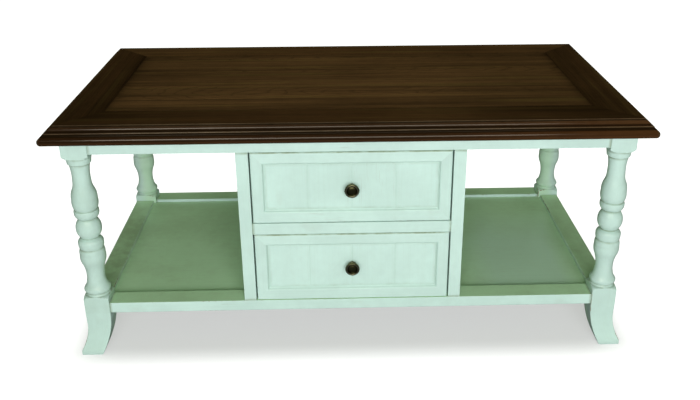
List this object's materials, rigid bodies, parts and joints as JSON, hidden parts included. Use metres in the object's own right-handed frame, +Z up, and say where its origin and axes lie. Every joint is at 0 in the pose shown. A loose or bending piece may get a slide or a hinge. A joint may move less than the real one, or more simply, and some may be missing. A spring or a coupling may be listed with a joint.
{
  "type": "coffee table",
  "caption": "Coffee table with a moulded dark top, turned painted legs, a framed lower shelf and a central case of sliding drawers between open bays.",
  "frame": {"origin": "on the floor, under the middle of the table", "axes": "+X along the table to its right end, +Y to its back, +Z up; the drawers open along -Y"},
  "size_m": [1.2, 0.632, 0.52],
  "materials": {
    "walnut_field": "satin",
    "walnut_border": "satin",
    "mint_paint": "satin",
    "drawer_wood": "matte",
    "aged_bronze": "satin",
    "zinc_screw": "satin"
  },
  "bodies": {
    "table": {"apron_back": "mint_paint", "apron_front": "mint_paint", "apron_left": "mint_paint", "apron_right": "mint_paint", "case_back": "mint_paint", "case_side_left": "mint_paint", "case_side_right": "mint_paint", "case_stile_back_left": "mint_paint", "case_stile_back_right": "mint_paint", "case_stile_front_left": "mint_paint", "case_stile_front_right": "mint_paint", "corner_block_back_left": "drawer_wood", "corner_block_back_right": "drawer_wood", "corner_block_front_left": "drawer_wood", "corner_block_front_right": "drawer_wood", "drawer_divider": "mint_paint", "drawer_kickers": "drawer_wood", "drawer_runner_lower_left": "drawer_wood", "drawer_runner_lower_right": "drawer_wood", "drawer_runner_upper_left": "drawer_wood", "drawer_runner_upper_right": "drawer_wood", "leg_back_left": "mint_paint", "leg_back_right": "mint_paint", "leg_front_left": "mint_paint", "leg_front_right": "mint_paint", "shelf_panel": "mint_paint", "shelf_rail_back": "mint_paint", "shelf_rail_front": "mint_paint", "shelf_rail_left": "mint_paint", "shelf_rail_right": "mint_paint", "top_border_back": "walnut_border", "top_border_front": "walnut_border", "top_border_left": "walnut_border", "top_border_right": "walnut_border", "top_field": "walnut_field", "wood_screws": "zinc_screw"},
    "upper_drawer": {"upper_drawer_box_back": "drawer_wood", "upper_drawer_box_bottom": "drawer_wood", "upper_drawer_box_front": "drawer_wood", "upper_drawer_box_left": "drawer_wood", "upper_drawer_box_right": "drawer_wood", "upper_drawer_frame_bottom": "mint_paint", "upper_drawer_frame_left": "mint_paint", "upper_drawer_frame_right": "mint_paint", "upper_drawer_frame_top": "mint_paint", "upper_drawer_front_panel": "mint_paint", "upper_drawer_knob": "aged_bronze", "upper_drawer_knob_screw": "zinc_screw"},
    "lower_drawer": {"lower_drawer_box_back": "drawer_wood", "lower_drawer_box_bottom": "drawer_wood", "lower_drawer_box_front": "drawer_wood", "lower_drawer_box_left": "drawer_wood", "lower_drawer_box_right": "drawer_wood", "lower_drawer_frame_bottom": "mint_paint", "lower_drawer_frame_left": "mint_paint", "lower_drawer_frame_right": "mint_paint", "lower_drawer_frame_top": "mint_paint", "lower_drawer_front_panel": "mint_paint", "lower_drawer_knob": "aged_bronze", "lower_drawer_knob_screw": "zinc_screw"}
  },
  "joints": [
    {"name": "upper_drawer_slide", "type": "slide", "parent": "table", "child": "upper_drawer", "axis": [0, -1, 0], "range_m": [0, 0.38]},
    {"name": "lower_drawer_slide", "type": "slide", "parent": "table", "child": "lower_drawer", "axis": [0, -1, 0], "range_m": [0, 0.38]}
  ]
}
